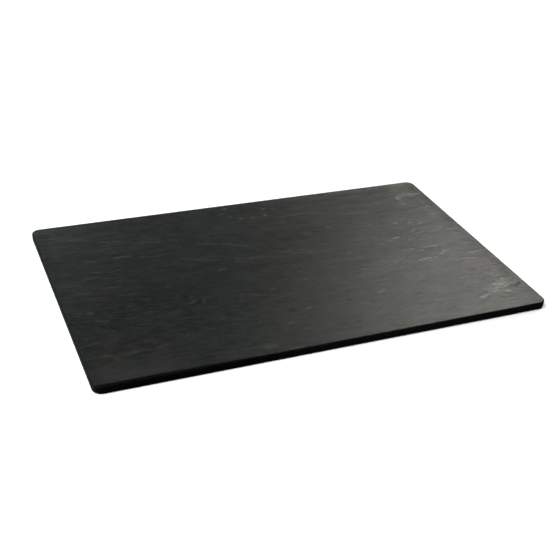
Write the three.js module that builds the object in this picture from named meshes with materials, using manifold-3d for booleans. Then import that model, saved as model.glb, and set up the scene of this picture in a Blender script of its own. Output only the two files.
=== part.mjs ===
// A slate-look melamine serving board, Gastronorm 1/1, lying face up as on a buffet table.
//
// The board is one compression-moulded shell: a flat plate whose edge turns down into a rim, so
// that it looks like a thick slab of slate and weighs half as much. Under each corner a round
// boss holds a socket, and a silicone foot is bonded into it. The feet stand a little below the
// rim, so the board doesn't slide, and the boards stack without scratching each other.
//
// Units are millimetres. +X runs along the long side, +Y to the back and +Z up. The origin is on
// the table, under the centre of the board.

import * as THREE from 'three';
import Module from 'manifold-3d';
import { mergeVertices, toCreasedNormals } from 'three/addons/utils/BufferGeometryUtils.js';

const wasm = await Module();
wasm.setup();

// Outside of the board
const BOARD_LENGTH = 530;
const BOARD_WIDTH = 325;
const BOARD_THICKNESS = 9.2; // from the underside of the rim to the serving face
const CORNER_RADIUS = 10;
const ARRIS_RADIUS = 1.5; // the softened edge of the serving face
const HEEL_RADIUS = 1; // the rounded outer edge under the rim
const WALL_DRAFT = 3; // degrees, the wall leans in towards the table

// Hollow underside
const PLATE_THICKNESS = 5;
const RIM_LAND = 4.6; // the flat width of the rim's underside
const LIP_RADIUS = 0.8; // the rounded inner edge under the rim
const RECESS_DRAFT = 12; // degrees
const RECESS_FILLET = 2.4; // where the rim's inner wall turns into the plate
const RECESS_CORNER_RADIUS = 9; // at the lip

// Feet, and the bosses that hold them
const FOOT_DIAMETER = 12;
const FOOT_EDGE_DISTANCE = 26; // from each side of the board to a foot's centre
const FOOT_STANDOFF = 0.8; // how far the feet stand below the rim
const FOOT_EDGE_RADIUS = 1.1;
const FOOT_CHAMFER = 0.4; // the lead-in on the end that goes into the socket
const BOSS_SETBACK = 0.9; // how far the boss's face stays above the rim's underside
const BOSS_WALL = 3.6; // around the socket's mouth
const BOSS_DRAFT = 8; // degrees
const BOSS_FILLET = 1.4; // where the boss grows out of the plate
const SOCKET_DEPTH = 2;
const SOCKET_CHAMFER = 0.5;
const SOCKET_CLEARANCE = 0.3; // around the foot
const BOND_THICKNESS = 0.3; // the adhesive between the foot and the socket's floor

// Fineness of the round parts
const ARC_STEPS = 5; // in the quarter round of an edge or a fillet
const CORNER_STEPS = 10; // in a corner of the board
const TURN_STEPS = 40; // round a foot or a boss
const OVERSHOOT = 1; // how far a cutter runs out of the face it opens
const CREASE_ANGLE = 30; // degrees, a sharper turn between two facets shows as an edge

const RIM_UNDERSIDE = FOOT_STANDOFF;
const SERVING_FACE = RIM_UNDERSIDE + BOARD_THICKNESS;
const PLATE_UNDERSIDE = SERVING_FACE - PLATE_THICKNESS;
const BOSS_FACE = RIM_UNDERSIDE + BOSS_SETBACK;
const SOCKET_FLOOR = BOSS_FACE + SOCKET_DEPTH;
const SOCKET_RADIUS = FOOT_DIAMETER / 2 + SOCKET_CLEARANCE;
const BOSS_RADIUS = SOCKET_RADIUS + SOCKET_CHAMFER + BOSS_WALL;

const slope = (degrees) => Math.tan(THREE.MathUtils.degToRad(degrees));

// The points of an arc in a section, by its centre, its radius and its start and end angles in
// degrees. A section's first coordinate runs sideways, and its second is the height.
function arc(centre, radius, start, end) {
  return Array.from({ length: ARC_STEPS + 1 }, (_, step) => {
    const angle = THREE.MathUtils.degToRad(start + ((end - start) * step) / ARC_STEPS);
    return [centre[0] + radius * Math.cos(angle), centre[1] + radius * Math.sin(angle)];
  });
}

// One turn of a rounded rectangle at an inset from the board's widest outline, anticlockwise.
function outline(inset, height, radius) {
  const halfLength = BOARD_LENGTH / 2 - inset;
  const halfWidth = BOARD_WIDTH / 2 - inset;
  const quarters = [[1, 1], [-1, 1], [-1, -1], [1, -1]];
  return quarters.flatMap(([sideX, sideY], quarter) =>
    Array.from({ length: CORNER_STEPS + 1 }, (_, step) => {
      const angle = (quarter + step / CORNER_STEPS) * (Math.PI / 2);
      return new THREE.Vector3(
        sideX * (halfLength - radius) + radius * Math.cos(angle),
        sideY * (halfWidth - radius) + radius * Math.sin(angle),
        height,
      );
    }),
  );
}

// A closed surface through outlines that share one number of points, from the top one to the
// last, with a flat cap on the first and on the last.
function loft(rings) {
  const count = rings[0].length;
  const points = rings.flat();
  const faces = [];
  for (let ring = 0; ring + 1 < rings.length; ring++) {
    for (let i = 0; i < count; i++) {
      const next = (i + 1) % count;
      const [a, b] = [ring * count + i, ring * count + next];
      faces.push(a, a + count, b + count, a, b + count, b);
    }
  }
  const cap = (ring, faceUp) => {
    const middle = points.push(new THREE.Vector3(0, 0, rings[ring][0].z)) - 1;
    for (let i = 0; i < count; i++) {
      const [a, b] = [ring * count + i, ring * count + ((i + 1) % count)];
      faces.push(middle, ...(faceUp ? [a, b] : [b, a]));
    }
  };
  cap(0, true);
  cap(rings.length - 1, false);
  return new THREE.BufferGeometry().setFromPoints(points).setIndex(faces);
}

// A turned shape about the Z axis, from a section of [radius, height] points that starts and
// ends on the axis and runs from the bottom to the top.
function turned(section) {
  const profile = section.map(([radius, height]) => new THREE.Vector2(radius, height));
  return new THREE.LatheGeometry(profile, TURN_STEPS).rotateX(Math.PI / 2);
}

function toSolid(geometry) {
  const bare = geometry.clone();
  bare.deleteAttribute('normal');
  bare.deleteAttribute('uv');
  const merged = mergeVertices(bare, 1e-4);
  return new wasm.Manifold(
    new wasm.Mesh({
      numProp: 3,
      vertProperties: merged.attributes.position.array,
      triVerts: new Uint32Array(merged.index.array),
    }),
  );
}

function toGeometry(solid) {
  const { vertProperties, triVerts } = solid.getMesh();
  const geometry = new THREE.BufferGeometry();
  geometry.setAttribute('position', new THREE.BufferAttribute(vertProperties, 3));
  geometry.setIndex(new THREE.BufferAttribute(triVerts, 1));
  return geometry;
}

// A named piece whose rounds are shaded smooth and whose edges stay crisp.
function piece(name, geometry, material) {
  const crisp = toCreasedNormals(geometry, THREE.MathUtils.degToRad(CREASE_ANGLE));
  const mesh = new THREE.Mesh(crisp, material);
  mesh.name = name;
  return mesh;
}

// The shell's edge in section, as [inset, height] points: over the arris, down the wall and
// round the heel to the rim's underside.
function outerEdge() {
  const wallHeight = BOARD_THICKNESS - ARRIS_RADIUS - HEEL_RADIUS;
  const lean = wallHeight * slope(WALL_DRAFT);
  const arris = arc([ARRIS_RADIUS, SERVING_FACE - ARRIS_RADIUS], ARRIS_RADIUS, 90, 180);
  const heel = arc([lean + HEEL_RADIUS, RIM_UNDERSIDE + HEEL_RADIUS], HEEL_RADIUS, 180, 270);
  return [...arris, ...heel];
}

// The same edge inside the recess: from the rim's underside over the lip, up the drafted wall and
// through the fillet to the plate.
function innerEdge(heelInset) {
  const lipInset = heelInset + RIM_LAND;
  const recessDepth = PLATE_UNDERSIDE - RIM_UNDERSIDE;
  const fillet = Math.min(RECESS_FILLET, recessDepth - LIP_RADIUS);
  const wall = recessDepth - LIP_RADIUS - fillet;
  const lip = arc([lipInset, RIM_UNDERSIDE + LIP_RADIUS], LIP_RADIUS, -90, 0);
  const turnInset = lipInset + LIP_RADIUS + wall * slope(RECESS_DRAFT);
  const turn = arc([turnInset + fillet, PLATE_UNDERSIDE - fillet], fillet, 180, 90);
  return [...lip, ...turn];
}

// The plate with its rim, without the bosses.
function shell() {
  const outer = outerEdge();
  const inner = innerEdge(outer.at(-1)[0]);
  const [lipInset] = inner[0];
  const outside = ([inset, height]) => outline(inset, height, CORNER_RADIUS - inset);
  const inside = ([inset, height]) =>
    outline(inset, height, RECESS_CORNER_RADIUS - (inset - lipInset));
  return toSolid(loft([...outer.map(outside), ...inner.map(inside)]));
}

// A boss grows down out of the plate, wider at its root, and reaches into the plate's thickness
// so that the two are one moulding.
function boss() {
  const height = PLATE_UNDERSIDE - BOSS_FACE;
  const fillet = Math.min(BOSS_FILLET, height / 2);
  const rootRadius = BOSS_RADIUS + (height - fillet) * slope(BOSS_DRAFT);
  const flare = arc([rootRadius + fillet, PLATE_UNDERSIDE - fillet], fillet, 180, 90);
  const buried = PLATE_UNDERSIDE + PLATE_THICKNESS / 2;
  const face = [[0, BOSS_FACE], [BOSS_RADIUS, BOSS_FACE]];
  return toSolid(turned([...face, ...flare, [rootRadius + fillet, buried], [0, buried]]));
}

// The cutter for a socket, chamfered at its mouth.
function socket() {
  const mouth = SOCKET_RADIUS + SOCKET_CHAMFER;
  return toSolid(
    turned([
      [0, BOSS_FACE - OVERSHOOT],
      [mouth, BOSS_FACE - OVERSHOOT],
      [mouth, BOSS_FACE],
      [SOCKET_RADIUS, BOSS_FACE + SOCKET_CHAMFER],
      [SOCKET_RADIUS, SOCKET_FLOOR],
      [0, SOCKET_FLOOR],
    ]),
  );
}

// A foot is a plain silicone disc with a rounded edge where it meets the table.
function foot() {
  const radius = FOOT_DIAMETER / 2;
  const top = SOCKET_FLOOR - BOND_THICKNESS;
  const edge = arc([radius - FOOT_EDGE_RADIUS, FOOT_EDGE_RADIUS], FOOT_EDGE_RADIUS, -90, 0);
  return turned([[0, 0], ...edge, [radius, top - FOOT_CHAMFER], [radius - FOOT_CHAMFER, top], [0, top]]);
}

const melamine = new THREE.MeshStandardMaterial({ color: '#2b2d2c', roughness: 0.45, metalness: 0 });
const silicone = new THREE.MeshStandardMaterial({ color: '#1d1d1d', roughness: 0.8, metalness: 0 });

const footX = BOARD_LENGTH / 2 - FOOT_EDGE_DISTANCE;
const footY = BOARD_WIDTH / 2 - FOOT_EDGE_DISTANCE;
const footPlaces = [
  ['front_left', -footX, -footY],
  ['front_right', footX, -footY],
  ['back_left', -footX, footY],
  ['back_right', footX, footY],
];

let board = shell();
for (const [, x, y] of footPlaces) {
  board = board.add(boss().translate([x, y, 0])).subtract(socket().translate([x, y, 0]));
}

const servingBoard = new THREE.Group();

servingBoard.add(piece('melamine_board', toGeometry(board), melamine));
for (const [corner, x, y] of footPlaces) {
  const footMesh = piece(`foot_${corner}`, foot(), silicone);
  footMesh.position.set(x, y, 0);
  servingBoard.add(footMesh);
}

export default servingBoard;
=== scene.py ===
"""A slate-look melamine serving board with silicone feet, lying on a pale floor.

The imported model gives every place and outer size. The board is modelled again here with its riven
face, and the feet with their moulded detail, each in the place of the solid that it stands for.
"""

import logging
import math
from collections.abc import Callable, Mapping
from dataclasses import dataclass, field
from enum import Enum
from functools import partial

import bmesh
import bpy
import numpy as np
from bpy.types import Material, Node, NodeSocket, NodeTree, Object, Texture
from mathutils import Matrix, Vector, noise

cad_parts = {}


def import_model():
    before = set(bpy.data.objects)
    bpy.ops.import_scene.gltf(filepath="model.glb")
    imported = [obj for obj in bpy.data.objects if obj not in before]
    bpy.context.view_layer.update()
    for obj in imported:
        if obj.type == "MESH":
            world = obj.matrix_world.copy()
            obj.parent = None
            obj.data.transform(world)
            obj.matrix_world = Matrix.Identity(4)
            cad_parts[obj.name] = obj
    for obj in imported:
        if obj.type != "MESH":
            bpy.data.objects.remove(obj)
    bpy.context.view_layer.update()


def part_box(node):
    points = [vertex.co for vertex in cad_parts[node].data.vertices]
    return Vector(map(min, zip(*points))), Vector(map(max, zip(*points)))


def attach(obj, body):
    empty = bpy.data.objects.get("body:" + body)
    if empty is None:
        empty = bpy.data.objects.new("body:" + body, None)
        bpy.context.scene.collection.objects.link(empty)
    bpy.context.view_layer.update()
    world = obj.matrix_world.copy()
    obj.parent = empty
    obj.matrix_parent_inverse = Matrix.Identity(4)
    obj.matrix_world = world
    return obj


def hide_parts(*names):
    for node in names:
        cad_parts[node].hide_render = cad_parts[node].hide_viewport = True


LOG = logging.getLogger("serving_board")
BODY = "root"
MM = 0.001

# The levels of the painted shade along the front edge at which its black starts and is full
EDGE_SHADE_START, EDGE_SHADE_FULL = 0.1, 0.5

# Sockets of the colour form of Blender's Mix node, which shares names between its forms
MIX_FACTOR, MIX_A, MIX_B, MIX_RESULT = 0, 6, 7, 2


def linear(hex_colour: str) -> tuple[float, float, float, float]:
    """Turn an sRGB hex colour into linear light.

    Args:
        hex_colour: the colour, such as "#2b2d2c".

    Returns:
        Red, green and blue from 0 to 1, and an alpha of 1.
    """
    parts = [int(hex_colour[i:i + 2], 16) / 255 for i in (1, 3, 5)]
    red, green, blue = (c / 12.92 if c <= 0.04045 else ((c + 0.055) / 1.055) ** 2.4 for c in parts)
    return red, green, blue, 1.0


def add_node(
    tree: NodeTree,
    kind: str,
    settings: dict[str, object] | None = None,
    inputs: dict[str | int, object] | None = None,
) -> Node:
    """Add a node with its settings and links.

    Args:
        tree: the node tree that gets the node.
        kind: the node's type, such as "ShaderNodeTexNoise".
        settings: the node's own settings, by name.
        inputs: a value or another node's output socket, by input name or number.

    Returns:
        The new node.
    """
    node = tree.nodes.new(kind)
    for name, value in (settings or {}).items():
        setattr(node, name, value)
    for name, value in (inputs or {}).items():
        if isinstance(value, NodeSocket):
            tree.links.new(value, node.inputs[name])
        else:
            node.inputs[name].default_value = value
    return node


def new_material(name: str) -> Material:
    """Make an empty node material."""
    material = bpy.data.materials.new(name)
    material.use_nodes = True
    material.node_tree.nodes.clear()
    return material


def smoothstep(share: float) -> float:
    """Ease a share from 0 to 1, level at both ends."""
    share = min(1.0, max(0.0, share))
    return share * share * (3 - 2 * share)


def drawn(tree: NodeTree, patterns: Mapping[str, NodeSocket]) -> NodeSocket | float:
    """Keep each pattern where its kind of mark is drawn on the board, and join them.

    Args:
        tree: the material's node tree.
        patterns: masks from 0 to 1, by kind of mark.

    Returns:
        A mask that is the strongest of them everywhere.
    """
    joined: NodeSocket | float = 0.0
    for kind, pattern in patterns.items():
        mark = add_node(tree, "ShaderNodeAttribute", {"attribute_name": kind}).outputs["Fac"]
        kept = add_node(tree, "ShaderNodeMath", {"operation": "MULTIPLY"}, {0: mark, 1: pattern}).outputs[0]
        joined = add_node(tree, "ShaderNodeMath", {"operation": "MAXIMUM"}, {0: joined, 1: kept}).outputs[0]
    return joined


def painted_edge_shade(tree: NodeTree) -> NodeSocket:
    """Read the painted shade along the front edge, a black band with a rather sharp inner side."""
    painted_shade = add_node(tree, "ShaderNodeAttribute", {"attribute_name": "painted_shade"})
    sharpened = add_node(tree, "ShaderNodeMapRange", {"interpolation_type": "SMOOTHSTEP"}, {
        "Value": painted_shade.outputs["Fac"],
        "From Min": EDGE_SHADE_START,
        "From Max": EDGE_SHADE_FULL,
    })
    return sharpened.outputs["Result"]


def relief(
    tree: NodeTree, heights: tuple[tuple[NodeSocket, float], ...], kept: NodeSocket | float = 1.0
) -> NodeSocket:
    """Lay heights that are too fine for the mesh over one another.

    Args:
        tree: the material's node tree.
        heights: masks from 0 to 1, each with the height in millimetres that 1 stands for.
        kept: the share of the heights that is left, from 0 to 1.

    Returns:
        The normal's socket.
    """
    total: NodeSocket | float = 0.0
    for level, height_mm in heights:
        total = add_node(tree, "ShaderNodeMath", {"operation": "MULTIPLY_ADD"}, {
            0: level,
            1: height_mm,
            2: total,
        }).outputs[0]
    bump = add_node(tree, "ShaderNodeBump", inputs={"Strength": kept, "Height": total, "Distance": MM})
    return bump.outputs["Normal"]


@dataclass(frozen=True)
class Streaks:
    """A noise pattern drawn out into streaks, by the real size of one streak.

    Attributes:
        length_mm: a streak's length.
        width_mm: a streak's width.
        turn_deg: the turn away from the board's long side, anticlockwise from above.
        layers: how many finer layers lie on the coarsest one.
        raggedness: how strong the finer layers are, from 0 to 1.
        shift_mm: moves the pattern, so that two alike don't coincide.
        low: the noise level that gives 0.
        high: the noise level that gives 1.
    """

    length_mm: float
    width_mm: float
    turn_deg: float = 0.0
    layers: float = 2.0
    raggedness: float = 0.5
    shift_mm: float = 0.0
    low: float = 0.3
    high: float = 0.7

    def add(self, tree: NodeTree, place: NodeSocket, full: float = 1.0) -> NodeSocket:
        """Add the streaks to a material.

        Args:
            tree: the material's node tree.
            place: the coordinates that the pattern follows.
            full: the mask's highest level.

        Returns:
            A mask from 0 to the highest level.
        """
        level = add_node(tree, "ShaderNodeMapRange", {"interpolation_type": "SMOOTHSTEP"}, {
            "Value": self._noise(tree, place),
            "From Min": self.low,
            "From Max": self.high,
            "To Max": full,
        })
        return level.outputs["Result"]

    def add_outlines(self, tree: NodeTree, place: NodeSocket, full: float = 1.0) -> NodeSocket:
        """Add thin wandering lines round the streaks, where the noise is between low and high.

        Args:
            tree: the material's node tree.
            place: the coordinates that the pattern follows.
            full: the mask's highest level.

        Returns:
            A mask that is highest along the middle of a line and 0 between the lines.
        """
        middle = (self.low + self.high) / 2
        away = add_node(tree, "ShaderNodeMath", {"operation": "SUBTRACT"}, {
            0: self._noise(tree, place),
            1: middle,
        })
        distance = add_node(tree, "ShaderNodeMath", {"operation": "ABSOLUTE"}, {0: away.outputs[0]})
        line = add_node(tree, "ShaderNodeMapRange", {"interpolation_type": "SMOOTHSTEP"}, {
            "Value": distance.outputs[0],
            "From Min": self.high - middle,
            "From Max": 0.0,
            "To Max": full,
        })
        return line.outputs["Result"]

    def _noise(self, tree: NodeTree, place: NodeSocket) -> NodeSocket:
        """Add the drawn-out noise itself."""
        mapped = add_node(tree, "ShaderNodeMapping", {"vector_type": "TEXTURE"}, {
            "Vector": place,
            "Location": (self.shift_mm * MM, 0.0, 0.0),
            "Rotation": (0.0, 0.0, math.radians(self.turn_deg)),
            "Scale": (self.length_mm * MM, self.width_mm * MM, self.width_mm * MM),
        })
        pattern = add_node(tree, "ShaderNodeTexNoise", inputs={
            "Vector": mapped.outputs["Vector"],
            "Scale": 1.0,
            "Detail": self.layers,
            "Roughness": self.raggedness,
        })
        return pattern.outputs[0]


@dataclass(frozen=True)
class Mark:
    """An oval on the face with soft edges.

    Attributes:
        x_mm: its centre along the board.
        y_mm: its centre across the board.
        length_mm: its full length.
        width_mm: its full width.
        turn_deg: the turn of its length away from the board's long side, anticlockwise.
        strength: how plain it is, from 0 to 1.
    """

    x_mm: float
    y_mm: float
    length_mm: float
    width_mm: float
    turn_deg: float = 0.0
    strength: float = 1.0

    def inside(self, points: np.ndarray) -> np.ndarray:
        """Say how far inside the mark points lie.

        Args:
            points: rows of x and y in metres.

        Returns:
            1 in the middle, falling to 0 at the mark's outline and outside it.
        """
        turn = math.radians(self.turn_deg)
        x, y = (points / MM - (self.x_mm, self.y_mm)).T
        along = (x * math.cos(turn) + y * math.sin(turn)) / (self.length_mm / 2)
        across = (y * math.cos(turn) - x * math.sin(turn)) / (self.width_mm / 2)
        return np.clip(1 - np.hypot(along, across), 0, 1)


@dataclass(frozen=True)
class Stroke:
    """A line on the face with soft edges, such as the crest of a ledge.

    Attributes:
        course: the points that it runs through, as x and y in millimetres.
        width_mm: its full width.
        strength: how plain it is, from 0 to 1.
    """

    course: tuple[tuple[float, float], ...]
    width_mm: float
    strength: float

    def inside(self, points: np.ndarray) -> np.ndarray:
        """Say how far inside the line points lie.

        Args:
            points: rows of x and y in metres.

        Returns:
            1 along the middle, falling to 0 at the line's sides and outside it.
        """
        course = np.array(self.course) * MM
        nearest = np.full(len(points), np.inf)
        for start, end in zip(course, course[1:]):
            way = end - start
            share = np.clip((points - start) @ way / (way @ way), 0, 1)
            nearest = np.minimum(nearest, np.hypot(*(points - start - share[:, None] * way).T))
        return np.clip(1 - nearest / (self.width_mm / 2 * MM), 0, 1)


def strokes(*rows: tuple[float | tuple[float, float], ...]) -> tuple[Stroke, ...]:
    """Make strokes from rows of a width and a strength, followed by the points of the course."""
    return tuple(Stroke(row[2:], row[0], row[1]) for row in rows)


@dataclass(frozen=True)
class FaceMarks:
    """Where the face is worn pale and has painted highlights and painted shade, where it is broken and
    where its print is warmer.

    Attributes:
        worn_and_glinting: crests, small facets and scuffs painted pale; the scuffs are wear, the crests and
            bright dashes are partly wear and partly painted highlight.
        sunk_and_shaded: small hollows and the feet of ledges, sunk in the relief and painted with shade.
        painted_glint_areas: wide areas where a small facet has a painted highlight here and there.
        rough: wide areas that are more broken than the rest.
        stained: wide areas where the print is warmer.
        dull: wide areas that shine less.
        glossy: wide areas that shine more.
        calm: wide areas where the fine relief is shallower.
        painted_shade: painted shade along the front edge, a black band with almost no reflection.
        wander_mm: how far the marks, all but the front edge's painted shade, stray from their outlines.
        wander_size_mm: the size of the waves in which they stray.
        wander_seed: which waves they are, so that they are the same in each run.
    """

    # Pale strokes: scuffs that are wear, and crests and bright dashes that are partly wear and partly
    # painted highlight
    worn_and_glinting: tuple[Stroke, ...] = strokes(
        (4, 0.38, (-170, 105), (-160, 100), (-148, 96), (-137, 94), (-124, 92)),
        (5, 0.55, (-185, 69), (-175, 71), (-165, 69)), (4, 0.38, (-155, 65), (-145, 62), (-133, 60)),
        (3.6, 0.3, (-155, 71), (-145, 70), (-134, 73), (-121, 73)),
        (3.6, 0.38, (-193, 110), (-184, 109), (-170, 107)),
        (3.2, 0.31, (-187, 106), (-185, 92), (-183, 82), (-176, 79)),
        (3.6, 0.44, (-188, 130), (-178, 129), (-164, 128)), (8.1, 0.22, (-226, 125), (-205, 116)),
        (4, 0.25, (-218, 72), (-204, 67)), (3.6, 0.47, (-218, 46), (-208, 45)),
        (4, 0.31, (-230, 33), (-215, 34), (-204, 30)), (3.6, 0.31, (-199, 40), (-188, 42), (-181, 43)),
        (4.4, 0.23, (-250, 48), (-243, 48)), (3.6, 0.25, (-250, 23), (-233, 21)),
        (3.6, 0.31, (-208, 9), (-195, 7)), (8.1, 0.18, (-243, 5), (-231, 2)),
        (4.4, 0.25, (-123, 42), (-118, 41)), (5.9, 0.25, (-108, 47), (-98, 42), (-85, 36), (-72, 33)),
        (3.6, 0.47, (46, 110), (55, 115), (62, 112), (68, 115), (76, 112), (84, 114), (96, 113)),
        (6.3, 0.25, (-80, 76), (-73, 71), (-60, 70), (-45, 64), (-25, 54)),
        (3.6, 0.32, (-79, 41), (-69, 41)), (3.6, 0.36, (-34, 26), (-27, 25), (-16, 26)),
        (3.6, 0.26, (-50, 21), (-39, 20)), (4.5, 0.24, (-50, 29), (-33, 25), (-9, 22), (8, 17)),
        (5, 0.37, (-77, 10), (-68, 10)), (5, 0.32, (6, 33), (12, 29), (22, 26), (30, 22), (45, 19)),
        (4.4, 0.36, (36, 27), (44, 26)), (4, 0.17, (-57, 93), (-45, 91)), (3.6, 0.18, (-75, 87), (-64, 85)),
        (7, 1, (-20, 152), (-17, 152)), (5, 0.66, (-29, 139), (-25, 139)),
        (5, 0.78, (-20, 128), (-17, 128)), (5, 0.78, (-8, 121), (-5, 121)), (5, 1, (8, 121), (11, 121)),
        (5, 1, (26, 122), (27, 124)), (5.5, 1, (29, 139), (33, 139)), (5, 0.66, (42, 137), (46, 137)),
        (4.4, 0.34, (128, 114), (136, 115)), (3.6, 0.28, (131, 97), (143, 97)),
        (4.4, 0.3, (145, 61), (151, 64)), (3.6, 0.2, (158, 57), (168, 53)),
        (13, 0.78, (220, 119), (228, 125), (236, 127), (246, 126)), (8, 0.5, (246, 126), (258, 125)),
        (8, 0.3, (222, 118), (220, 108), (220, 101)), (8, 0.65, (220, 102), (221, 100)),
        (5.4, 0.91, (181, 57), (185, 57)), (4.4, 0.54, (201, 52), (205, 54)),
        (4.4, 0.54, (214, 46), (220, 50)), (4.4, 0.68, (193, 31), (199, 35)),
        (4.4, 0.68, (200, 26), (207, 26)), (3.6, 0.6, (220, 26), (230, 26)),
        (3.6, 0.6, (227, 30), (238, 32)), (4, 0.5, (240, 23), (250, 23), (258, 21)),
        (7.2, 0.31, (239, 66), (252, 66)), (4.4, 0.91, (162, 21), (168, 21)),
        (4, 0.51, (148, 16), (157, 15)), (4.4, 0.49, (136, 12), (142, 11)),
        (4.4, 0.68, (179, 12), (187, 14)), (4.4, 0.78, (91, 70), (94, 71)), (4.4, 0.43, (88, 3), (93, 4)),
        (5.4, 0.2, (157, 146), (170, 145)), (6.3, 0.4, (-240, -36), (-236, -37)),
        (3.6, 0.36, (-236, -52), (-221, -56)), (4.4, 0.34, (-197, -34), (-193, -34)),
        (4.4, 0.22, (-217, -13), (-213, -13)), (3.6, 0.28, (-202, -11), (-190, -11), (-180, -13)),
        (4.4, 0.22, (-145, -8), (-141, -8)), (5, 0.23, (-126, -34), (-122, -36)),
        (5.9, 0.34, (-131, -48), (-124, -45)), (4.4, 0.22, (-111, -41), (-116, -53)),
        (5.9, 0.12, (-239, -62), (-237, -69)), (3.6, 0.17, (-257, -92), (-240, -91), (-218, -92)),
        (3.6, 0.17, (-168, -90), (-158, -93)), (6.8, 0.3, (-242, -113), (-236, -116)),
        (6.3, 0.14, (-233, -121), (-229, -123)), (3.6, 0.3, (-222, -118), (-212, -117), (-198, -117)),
        (3.6, 0.24, (-187, -116), (-172, -113)), (3.6, 0.38, (-190, -135), (-178, -134)),
        (4.4, 0.34, (-152, -106), (-150, -104)), (4.4, 0.14, (-138, -102), (-131, -103)),
        (5.4, 0.22, (-108, -88), (-103, -85)), (8.1, 0.08, (-250, -151), (-200, -153), (-160, -154)),
        (4, 0.25, (-74, -55), (-70, -48), (-62, -49), (-50, -54), (-42, -57)),
        (4.4, 0.32, (-77, -60), (-70, -61)), (4.4, 0.43, (-35, -49), (-28, -47)),
        (4.4, 0.29, (-38, -59), (-35, -59)), (4.4, 0.52, (-10, -94), (-5, -94)),
        (4.4, 0.35, (-41, -115), (-34, -115)), (12.6, 0.2, (-80, -148), (-71, -150)),
        (3.6, 0.32, (-56, -159), (-42, -160)), (7.2, 0.32, (56, -104), (60, -106)),
        (8.1, 0.36, (84, -88), (92, -84)), (4, 0.25, (96, -65), (112, -64)),
        (4.4, 0.32, (10, -38), (15, -38)), (4.4, 0.26, (13, -19), (17, -19)),
        (3.6, 0.36, (88, -35), (99, -38)), (3.6, 0.6, (159, -10), (173, -10)),
        (4, 0.81, (185, -11), (194, -9), (205, -10)), (4.4, 0.62, (180, -16), (183, -16)),
        (3.6, 0.35, (133, -32), (142, -29), (151, -26)), (4, 0.85, (165, -37), (180, -35), (191, -36)),
        (4, 0.25, (150, -41), (160, -40)), (4.4, 0.91, (199, -30), (206, -29)),
        (4.4, 0.68, (206, -26), (211, -25)), (5, 0.5, (235, -37), (253, -37)),
        (4, 0.7, (209, -49), (218, -48), (228, -49), (238, -52)),
        (4, 0.43, (235, -12), (246, -14), (255, -14)), (3.6, 0.45, (244, -67), (253, -69)),
        (4.4, 0.34, (131, -66), (136, -70)), (4.4, 0.34, (148, -66), (154, -66)),
        (4, 0.35, (137, -120), (148, -122)), (8.1, 1, (194, -132), (200, -131), (207, -128)),
        (7.2, 0.75, (214, -126), (220, -124), (228, -117)),
        (13.5, 1, (226, -113), (233, -114), (238, -116)), (5.4, 0.6, (236, -115), (249, -114)),
        (24, 0.43, (216, -124), (228, -117), (242, -111)), (5.4, 0.54, (238, -112), (241, -102)),
        (8.1, 0.85, (231, -128), (235, -129)), (5.4, 0.46, (214, -120), (208, -116)),
        (3.6, 0.2, (205, -151), (225, -150), (240, -152)), (3.6, 0.19, (210, -157), (245, -156)),
        (3.6, 0.16, (213, -144), (232, -145)),
    )
    # Painted shade in the hollows and at the feet of ledges, which are also sunk in the relief
    sunk_and_shaded: tuple[Stroke, ...] = strokes(
        (5, 0.5, (-186, 77), (-168, 74)), (4.5, 0.6, (-233, -3), (-217, -6)),
        (4.5, 0.5, (-250, 130), (-244, 129)), (6, 0.4, (-205, 138), (-185, 138), (-168, 140)),
        (4.5, 0.5, (-201, 107), (-190, 106)), (4.5, 0.5, (-255, 14), (-248, 12)),
        (6, 0.5, (-138, 24), (-131, 22)), (4.5, 0.4, (-207, 14), (-199, 13)),
        (5, 0.4, (-135, 90), (-120, 87)), (5, 0.4, (-253, 76), (-244, 74)),
        (4.5, 0.6, (46, 109), (62, 110), (75, 109)), (6, 0.5, (-58, 90), (-44, 87), (-30, 86)),
        (4.5, 0.8, (65, 65), (80, 60)), (6, 0.5, (22, 58), (35, 52)), (4, 0.4, (-84, 84), (-66, 82)),
        (9, 0.7, (-134, -31), (-130, -35)), (6, 0.6, (-122, -50), (-119, -47)),
        (7, 0.7, (-221, -74), (-219, -76)), (7, 0.6, (-241, -125), (-236, -123)),
        (4.5, 0.7, (-213, -122), (-200, -122)), (4, 0.6, (-229, -110), (-212, -110)),
        (8, 0.5, (-122, -133), (-110, -132)), (4.5, 0.6, (-182, -21), (-172, -22)),
        (4.5, 0.5, (-251, -86), (-244, -87)), (6, 0.6, (-100, -82), (-96, -82)),
        (7, 0.7, (-28, -93), (-24, -94)), (5, 0.7, (40, -92), (46, -92)),
        (4.5, 0.6, (-82, -102), (-72, -102)), (6, 0.4, (-52, -32), (-48, -32)),
        (4.5, 0.4, (-38, -73), (-26, -75)), (5, 0.6, (11, -133), (22, -134)),
        (12, 0.3, (-6, -142), (30, -145)), (5, 0.7, (63, -151), (72, -154), (81, -157)),
        (6.5, 0.9, (212, -73), (222, -74)), (5, 0.4, (184, -62), (191, -59)),
        (5, 0.8, (123, -104), (131, -103)), (8, 0.4, (178, -114), (190, -116)),
        (6, 0.4, (133, -95), (138, -95)), (5, 0.8, (238, -108), (250, -109)),
        (6, 0.9, (238, -120), (248, -121), (258, -117)), (6, 0.4, (203, -89), (210, -88)),
        (5, 0.6, (250, -85), (260, -83)), (7, 0.3, (243, -52), (256, -50)),
        (4.5, 0.5, (218, -148), (234, -148)), (4, 0.3, (220, -154), (235, -154)),
    )
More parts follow.
